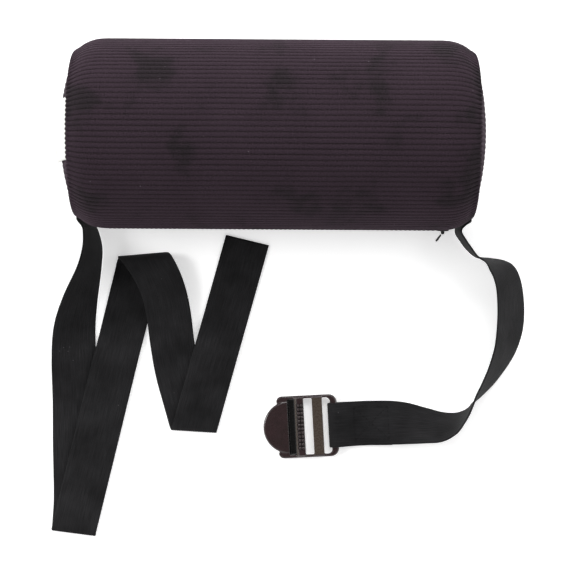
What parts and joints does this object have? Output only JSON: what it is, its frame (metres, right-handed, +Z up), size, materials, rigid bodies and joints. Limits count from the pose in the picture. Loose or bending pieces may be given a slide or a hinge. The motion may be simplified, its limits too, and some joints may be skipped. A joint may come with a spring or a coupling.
{
  "type": "lumbar support cushion",
  "caption": "Flat-backed foam lumbar roll in a zipped corduroy cover, with two elastic straps and a ladder-lock buckle that hold it to a chair back.",
  "frame": {"origin": "centre of the roll's flat back", "axes": "+X along the roll towards the end with the buckle strap, +Y to the side without the zip, +Z up from the flat back that the roll lies on"},
  "size_m": [0.3299, 0.3405, 0.1119],
  "materials": {
    "corduroy": "wide-wale cotton corduroy, brushed pile",
    "foam": "open-cell polyurethane foam",
    "webbing": "woven elastic webbing, matt",
    "zip_tape": "woven polyester tape",
    "nylon_coil": "nylon coil",
    "enamelled_zinc": "black enamel",
    "acetal": "moulded acetal, semi-gloss",
    "label_satin": "woven satin ribbon, blank"
  },
  "bodies": {
    "cushion": {"foam_core": "foam", "front_panel": "corduroy", "back_panel": "corduroy", "left_end_panel": "corduroy", "right_end_panel": "corduroy", "care_label": "label_satin", "upper_zip_tape": "zip_tape", "lower_zip_tape": "zip_tape", "upper_zip_coil": "nylon_coil", "lower_zip_coil": "nylon_coil", "upper_zip_top_stop": "enamelled_zinc", "lower_zip_top_stop": "enamelled_zinc", "zip_bottom_stop": "enamelled_zinc", "long_strap": "webbing", "short_strap": "webbing"},
    "zip_slider": {"zip_slider": "enamelled_zinc"},
    "zip_puller": {"zip_puller": "enamelled_zinc"},
    "buckle": {"ladder_lock_buckle": "acetal"}
  },
  "joints": [
    {"name": "zip_slide", "type": "slide", "parent": "cushion", "child": "zip_slider", "axis": [-1, 0, 0], "range_m": [0, 0.229]},
    {"name": "zip_puller_swing", "type": "hinge", "parent": "zip_slider", "child": "zip_puller", "pos_m": [0.1148, -0.06423, 0.03129], "axis": [0, -0.2588, 0.9659], "range_deg": [-53, 123]},
    {"name": "buckle_swing", "type": "hinge", "parent": "cushion", "child": "buckle", "pos_m": [0.0429, -0.1979, 0.00446], "axis": [-0.061, 0.9981, 0], "range_deg": [-60, 110]}
  ]
}
